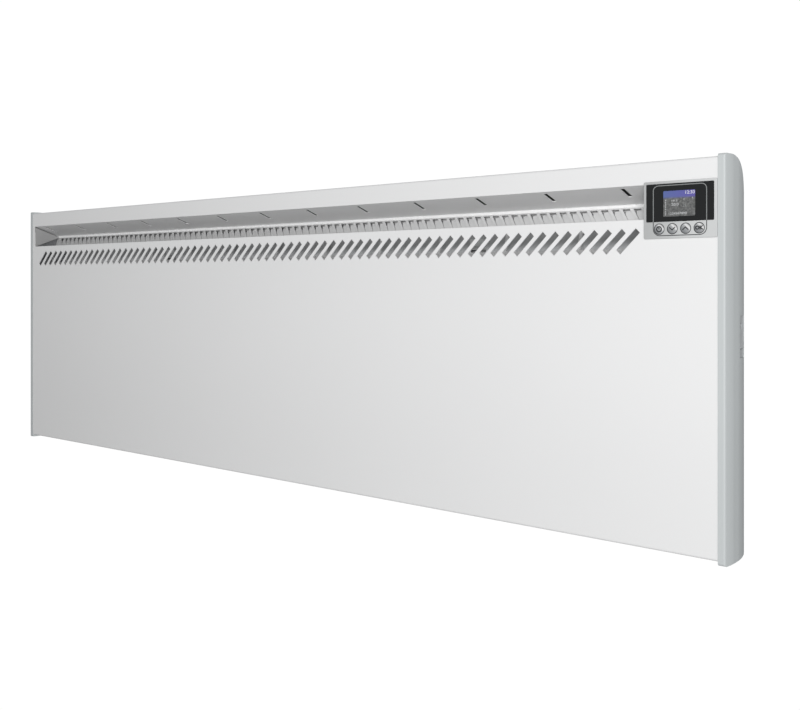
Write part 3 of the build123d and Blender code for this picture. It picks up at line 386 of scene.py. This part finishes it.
looks = {
    # front_coat: darker towards the bottom (painted shade); inside=0.22 darkens the casing's inner
    # side above the outlet (painted shade).
    "front_coat": dict(colour=(0.86, 0.86, 0.86), rough=0.42, bump=0.03, drift=0.01,
                       fades=[("Z", -190.0, 60.0, 0.955, 1.0)], inside=0.22),
    # deflector_coat: the ceiling is darker than its lip (painted shade) and lighter towards both
    # ends (painted light).
    "deflector_coat": dict(colour=(0.97, 0.97, 0.97), rough=0.45, bump=0.02, drift=0.02,
                           fades=[("Y", -31.2, -30.4, 0.93, 1.0),
                                  ("X", 250.0, 560.0, 1.0, 1.06),
                                  ("X", -600.0, -200.0, 1.05, 1.0)]),
    # louvre_coat: darker towards the left end (painted shade) and brighter at the right end
    # (painted light).
    "louvre_coat": dict(colour=(0.90, 0.90, 0.90), rough=0.45, bump=0.02, drift=0.01,
                        fades=[("X", -200.0, 400.0, 0.60, 0.70),
                               ("X", 400.0, 540.0, 1.0, 1.17)]),
    # cheek_coat: a darker grey than the other coats, standing in for the shade the cheeks lie in:
    # painted shade.
    "cheek_coat": dict(colour=(0.47, 0.47, 0.47), rough=0.45, bump=0.03, drift=0.03),
    # rear_zinc: held at 0.48 of its colour, except a painted pool of light on the inner side
    # behind the slots' lower ends.
    "rear_zinc": dict(colour=(0.94, 0.95, 0.96), rough=0.5, metallic=0.1, drift=0.3,
                      drift_scale=150.0, rear=0.48),
    # cap_plastic: front facet darker than the flank, darker towards the bottom and a little
    # lighter near the top: painted shade and painted light.
    "cap_plastic": dict(colour=(0.72, 0.755, 0.76), rough=0.5, bump=0.06, grain=1400.0,
                        drift=0.01,
                        fades=[("Y", -77.6, -75.5, 0.79, 1.0),
                               ("Z", -190.0, 0.0, 0.97, 1.0),
                               ("Z", 100.0, 196.0, 1.0, 1.02)]),
    # zinc_sheet: darker at the far left end, below X -570 mm: painted shade.
    "zinc_sheet": dict(colour=(0.55, 0.56, 0.58), rough=0.42, metallic=0.8, drift=0.25,
                       drift_scale=60.0, fades=[("X", -605.0, -570.0, 0.65, 1.0)]),
    "element_alu": dict(colour=(0.72, 0.73, 0.74), rough=0.35, metallic=0.9, drift=0.08),
    "bush_ceramic": dict(colour=(0.80, 0.77, 0.70), rough=0.7, bump=0.1),
    "tab_plating": dict(colour=(0.74, 0.74, 0.72), rough=0.3, metallic=1.0),
    "cutout_case": dict(colour=(0.70, 0.70, 0.70), rough=0.35, metallic=0.9),
    # bezel_plastic: darker towards the left: painted shade.
    "bezel_plastic": dict(colour=(0.64, 0.65, 0.65), rough=0.4, bump=0.03, drift=0.01,
                          fades=[("X", across(74.0), across(20.0), 0.73, 0.97)]),
    "window_plastic": dict(colour=(0.0125, 0.0135, 0.0140), rough=0.12, bump=0.0, drift=0.1),
    "switch_grey": dict(colour=(0.56, 0.58, 0.59), rough=0.4, bump=0.03, drift=0.01),
    "switch_black": dict(colour=(0.03, 0.03, 0.03), rough=0.35, bump=0.05),
    "board_green": dict(colour=(0.02, 0.16, 0.07), rough=0.4, bump=0.05, drift=0.2,
                        drift_scale=200.0),
    "standoff_nylon": dict(colour=(0.80, 0.80, 0.76), rough=0.55),
    "transformer_iron": dict(colour=(0.07, 0.07, 0.075), rough=0.5, metallic=0.3),
    "terminal_plastic": dict(colour=(0.76, 0.76, 0.72), rough=0.5),
    "gland_nylon": dict(colour=(0.10, 0.105, 0.11), rough=0.5, bump=0.05),
    "sensor_bead": dict(colour=(0.03, 0.03, 0.035), rough=0.25),
    "bracket_steel": dict(colour=(0.78, 0.78, 0.78), rough=0.45, bump=0.03, drift=0.02),
    # lock_plastic: light grey, lifted so the shaded lock noses seen through two slots read less
    # dark: painted light.
    "lock_plastic": dict(colour=(0.56, 0.57, 0.57), rough=0.5, bump=0.05),
    "screw_steel": dict(colour=(0.62, 0.62, 0.61), rough=0.3, metallic=1.0),
}
finishes = {slot: finish_material(slot, **look) for slot, look in looks.items()}
finishes["display_glass"] = display_material()
finishes["button_plastic"] = button_material()
trim_print = trim_material()
symbol_grey = finish_material("symbol_grey", (0.018, 0.020, 0.022), 0.5, bump=0.0)
display_white = finish_material("display_white", (0.56, 0.57, 0.58), 0.4, bump=0.0)
display_grey = finish_material("display_grey", (0.30, 0.31, 0.31), 0.4, bump=0.0)
time_white = finish_material("time_white", (0.80, 0.80, 0.88), 0.4, bump=0.0)


def floor_material():
    """Pale floor: plain and matt, a little brighter where the camera sees it."""
    material, tree, shader = plain_material("floor_pale")
    shader.inputs["Roughness"].default_value = 0.8
    place = tree.nodes.new("ShaderNodeTexCoord")
    cloud = tree.nodes.new("ShaderNodeTexNoise")
    cloud.inputs["Scale"].default_value = 0.4
    tree.links.new(place.outputs["Object"], cloud.inputs["Vector"])
    tone = tree.nodes.new("ShaderNodeValToRGB")
    tone.color_ramp.elements[0].color = (0.60, 0.60, 0.60, 1.0)
    tone.color_ramp.elements[1].color = (0.62, 0.62, 0.62, 1.0)
    tree.links.new(cloud.outputs["Fac"], tone.inputs["Fac"])
    tree.links.new(tone.outputs["Color"], shader.inputs["Base Color"])
    seen = tree.nodes.new("ShaderNodeEmission")
    seen.inputs["Strength"].default_value = 1.02
    path = tree.nodes.new("ShaderNodeLightPath")
    mix = tree.nodes.new("ShaderNodeMixShader")
    tree.links.new(path.outputs["Is Camera Ray"], mix.inputs["Fac"])
    tree.links.new(shader.outputs["BSDF"], mix.inputs[1])
    tree.links.new(seen.outputs["Emission"], mix.inputs[2])
    tree.links.new(mix.outputs["Shader"], tree.nodes["Material Output"].inputs["Surface"])
    return material


floor_white = floor_material()

slot_of = {row["node"]: row["material_slot"] for row in frame["record"]["subparts"]}
for name, node in nodes.items():
    node.data.materials.clear()
    node.data.materials.append(finishes[slot_of[name]])


# ---- pieces that the scene adds ----------------------------------------

def add_piece(name, bm, material, body):
    """Turns a bmesh in the row frame, in metres, into a piece that rides on a body."""
    bmesh.ops.recalc_face_normals(bm, faces=bm.faces)
    mesh = bpy.data.meshes.new(name)
    bm.to_mesh(mesh)
    bm.free()
    piece = bpy.data.objects.new(name, mesh)
    bpy.context.scene.collection.objects.link(piece)
    mesh.materials.append(material)
    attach(piece, body)
    return piece


def facing_front(x, y, z):
    """Puts a shape drawn flat, X right and Y up, on a plane that faces the viewer. Millimetres."""
    turn = Matrix.Rotation(math.radians(90), 4, "X")
    return Matrix.Scale(MM, 4) @ Matrix.Translation((x, y, z)) @ turn


def rounded_face(bm, wide, tall, upper, lower, steps):
    """A flat rectangle about the middle with its upper and lower corner radii, in millimetres."""
    made = bmesh.ops.create_grid(bm, x_segments=1, y_segments=1, size=0.5)
    bmesh.ops.scale(bm, vec=(wide, tall, 1.0), verts=made["verts"])
    corners = [v for v in made["verts"] if v.co.y > 0], [v for v in made["verts"] if v.co.y < 0]
    for verts, offset in zip(corners, (upper, lower)):
        bmesh.ops.bevel(bm, geom=verts, offset=offset, offset_type="OFFSET", segments=steps,
                        profile=0.5, affect="VERTICES", material=-1)
    return list(bm.faces)


def thicken(bm, faces, thickness):
    """Gives flat faces a thickness towards the viewer once placed."""
    made = bmesh.ops.extrude_face_region(bm, geom=faces)
    moved = [v for v in made["geom"] if isinstance(v, bmesh.types.BMVert)]
    bmesh.ops.translate(bm, vec=(0, 0, thickness), verts=moved)


def trim_line():
    """The line that runs round the display and the buttons."""
    bm = bmesh.new()
    faces = rounded_face(bm, LINE_LENGTH, LINE_HEIGHT, LINE_UPPER_RADIUS, LINE_LOWER_RADIUS, 12)
    ring = set(bmesh.ops.inset_region(bm, faces=faces, thickness=LINE_WIDTH, use_boundary=True,
                                      use_even_offset=True)["faces"])
    inner = [f for f in bm.faces if f not in ring]
    bmesh.ops.delete(bm, geom=inner, context="FACES")
    thicken(bm, list(bm.faces), LINE_THICK)
    place = facing_front(across(LINE_ACROSS), BEZEL_FACE + 0.02, height(LINE_DOWN))
    bmesh.ops.transform(bm, matrix=place, verts=bm.verts)
    return add_piece("bezel_trim_line", bm, trim_print, "heater")


def text_faces(words, size, bold=0.0, stretch=1.0):
    """A bmesh of flat lettering about the middle, in millimetres."""
    curve = bpy.data.curves.new("lettering", "FONT")
    curve.body = words
    curve.size = size
    curve.align_x = "CENTER"
    curve.align_y = "CENTER"
    curve.resolution_u = 3
    curve.offset = bold
    holder = bpy.data.objects.new("lettering", curve)
    bpy.context.scene.collection.objects.link(holder)
    bpy.context.view_layer.update()
    mesh = bpy.data.meshes.new_from_object(holder)
    bm = bmesh.new()
    bm.from_mesh(mesh)
    bpy.data.objects.remove(holder)
    bpy.data.curves.remove(curve)
    bpy.data.meshes.remove(mesh)
    bmesh.ops.remove_doubles(bm, verts=bm.verts, dist=0.001)
    bmesh.ops.scale(bm, vec=(stretch, 1.0, 1.0), verts=bm.verts)
    return bm


def lettering(name, words, size, u, v, material, bold=0.0, stretch=1.0):
    """Raised lettering on the display."""
    bm = text_faces(words, size, bold, stretch)
    thicken(bm, list(bm.faces), MARK_THICK)
    place = facing_front(across(u), DISPLAY_FACE + 0.01, height(v))
    bmesh.ops.transform(bm, matrix=place, verts=bm.verts)
    return add_piece(name, bm, material, "heater")


def bar(bm, x, y, length, width, angle=0.0):
    """A flat bar on a symbol, in millimetres."""
    made = bmesh.ops.create_grid(bm, x_segments=1, y_segments=1, size=0.5)
    bmesh.ops.scale(bm, vec=(length, width, 1.0), verts=made["verts"])
    turn = Matrix.Translation((x, y, 0)) @ Matrix.Rotation(math.radians(angle), 4, "Z")
    bmesh.ops.transform(bm, matrix=turn, verts=made["verts"])


def flat_ring(bm, radius, width, x=0.0, y=0.0, sides=32):
    """A flat ring on a symbol, in millimetres."""
    made = bmesh.ops.create_circle(bm, cap_ends=False, radius=radius, segments=sides)
    edges = list({e for v in made["verts"] for e in v.link_edges})
    grown = bmesh.ops.extrude_edge_only(bm, edges=edges)
    inner = [g for g in grown["geom"] if isinstance(g, bmesh.types.BMVert)]
    bmesh.ops.scale(bm, vec=((radius - width) / radius,) * 2 + (1.0,), verts=inner)
    bmesh.ops.translate(bm, vec=(x, y, 0), verts=made["verts"] + inner)


def symbol(name, bm, u, body):
    """Puts a flat symbol on a button's face."""
    thicken(bm, list(bm.faces), MARK_THICK)
    place = facing_front(across(u), BUTTON_FACE + 0.01, height(BUTTON_DOWN))
    bmesh.ops.transform(bm, matrix=place, verts=bm.verts)
    return add_piece(name, bm, symbol_grey, body)


def button_symbols():
    """Power ring, two arrows and the OK letters."""
    places = [BUTTON_FIRST - i * BUTTON_PITCH for i in range(4)]
    power = bmesh.new()
    flat_ring(power, 3.1, 1.2)
    bar(power, 0.0, 0.9, 1.0, 2.2)
    symbol("symbol_power", power, places[0], "button_power")
    for name, u, way in (("down", places[1], -1), ("up", places[2], 1)):
        arrow = bmesh.new()
        bar(arrow, -ARROW_REACH, 0.0, ARROW_ARM, ARROW_WIDTH, ARROW_ANGLE * way)
        bar(arrow, ARROW_REACH, 0.0, ARROW_ARM, ARROW_WIDTH, -ARROW_ANGLE * way)
        symbol("symbol_" + name, arrow, u, "button_" + name)
    letters = text_faces("OK", 4.9, 0.30, 1.08)
    symbol("symbol_ok", letters, places[3], "button_ok")


def display_marks():
    """Time, setting, temperature and scale marks on the display."""
    lettering("display_time", "12:30", 4.7, 28.0, 33.8, time_white, 0.05)
    lettering("display_room", "18.5", 2.4, 44.0, 41.4, display_white, 0.03, 1.7)
    lettering("display_setting", "20.0", 4.0, 43.2, 45.2, display_white, 0.04, 1.15)
    lettering("display_next", "21", 4.4, 33.2, 46.6, display_grey, 0.02, 0.9)
    lettering("display_unit", "C", 2.4, 33.6, 40.4, display_white, 0.05)
    lettering("display_mark", "4", 2.4, 25.2, 39.4, display_white, 0.05, 1.2)
    lettering("display_days", "1234567890", 3.2, 40.6, 54.2, display_white, 0.04, 1.22)
    ticks = bmesh.new()
    for i in range(9):
        bar(ticks, 0.0, 7.2 - 1.8 * i, 0.9, 0.9)
    thicken(ticks, list(ticks.faces), MARK_THICK)
    place = facing_front(across(53.0), DISPLAY_FACE + 0.01, height(48.0))
    bmesh.ops.transform(ticks, matrix=place, verts=ticks.verts)
    add_piece("display_ticks", ticks, display_white, "heater")


def button_gap_shades():
    """Dark rings over the gaps between the buttons and the bezel: painted shade of the gaps."""
    for i in range(4):
        bm = bmesh.new()
        flat_ring(bm, GAP_SHADE_RADIUS, GAP_SHADE_WIDTH, sides=40)
        thicken(bm, list(bm.faces), LINE_THICK)
        u = BUTTON_FIRST - i * BUTTON_PITCH
        place = facing_front(across(u), BEZEL_FACE + 0.04, height(BUTTON_DOWN))
        bmesh.ops.transform(bm, matrix=place, verts=bm.verts)
        add_piece("button_gap_shade_%d" % (i + 1), bm, symbol_grey, "heater")


trim_line()
button_gap_shades()
button_symbols()
display_marks()


# ---- floor, light and camera -------------------------------------------

def add_floor():
    """A plain pale floor well under the heater."""
    bm = bmesh.new()
    bmesh.ops.create_grid(bm, x_segments=1, y_segments=1, size=30.0)
    bmesh.ops.translate(bm, vec=(0, 0, -0.9), verts=bm.verts)
    mesh = bpy.data.meshes.new("studio_floor")
    bm.to_mesh(mesh)
    bm.free()
    mesh.materials.append(floor_white)
    floor = bpy.data.objects.new("studio_floor", mesh)
    bpy.context.scene.collection.objects.link(floor)


def add_light(name, place, target, wide, tall, power):
    """A soft area light that looks at a target."""
    data = bpy.data.lights.new(name, "AREA")
    data.shape = "RECTANGLE"
    data.size = wide
    data.size_y = tall
    data.energy = power
    light = bpy.data.objects.new(name, data)
    light.location = place
    light.rotation_euler = (Vector(target) - Vector(place)).to_track_quat("-Z", "Y").to_euler()
    bpy.context.scene.collection.objects.link(light)


def studio_world(fill, seen):
    """Pale surroundings: a plain fill light and a white backdrop."""
    world = bpy.data.worlds.new("studio_world")
    bpy.context.scene.world = world
    world.use_nodes = True
    tree = world.node_tree
    tree.nodes.clear()
    out = tree.nodes.new("ShaderNodeOutputWorld")
    soft = tree.nodes.new("ShaderNodeBackground")
    soft.inputs["Color"].default_value = (0.98, 0.99, 1.0, 1.0)
    soft.inputs["Strength"].default_value = fill
    white = tree.nodes.new("ShaderNodeBackground")
    white.inputs["Color"].default_value = (1.0, 1.0, 1.0, 1.0)
    white.inputs["Strength"].default_value = seen
    path = tree.nodes.new("ShaderNodeLightPath")
    mix = tree.nodes.new("ShaderNodeMixShader")
    tree.links.new(path.outputs["Is Camera Ray"], mix.inputs["Fac"])
    tree.links.new(soft.outputs["Background"], mix.inputs[1])
    tree.links.new(white.outputs["Background"], mix.inputs[2])
    tree.links.new(mix.outputs["Shader"], out.inputs["Surface"])


def add_camera():
    """Camera fitted to the panel's edges: level, off the right end, turned to the left."""
    data = bpy.data.cameras.new("photo_camera")
    data.sensor_width = SENSOR_WIDTH
    data.sensor_fit = "HORIZONTAL"
    data.lens = FOCAL_LENGTH * SENSOR_WIDTH / PICTURE_WIDTH
    data.shift_y = PICTURE_SHIFT / PICTURE_WIDTH
    data.clip_start = 0.05
    data.clip_end = 100.0
    camera = bpy.data.objects.new("photo_camera", data)
    camera.location = ((PANEL_RIGHT + CAMERA_RIGHT) * MM, (FRONT_FACE - CAMERA_BACK) * MM,
                       (PANEL_TOP - CAMERA_DOWN) * MM)
    camera.rotation_euler = (math.radians(90), 0, math.radians(CAMERA_TURN))
    bpy.context.scene.collection.objects.link(camera)
    bpy.context.scene.camera = camera


add_floor()
add_light("key_light", (1.5, -2.2, 0.35), (0.35, 0.0, 0.0), 1.0, 1.0, 42.5)
studio_world(0.32, 1.02)
add_camera()
bpy.context.scene.view_settings.view_transform = "Standard"
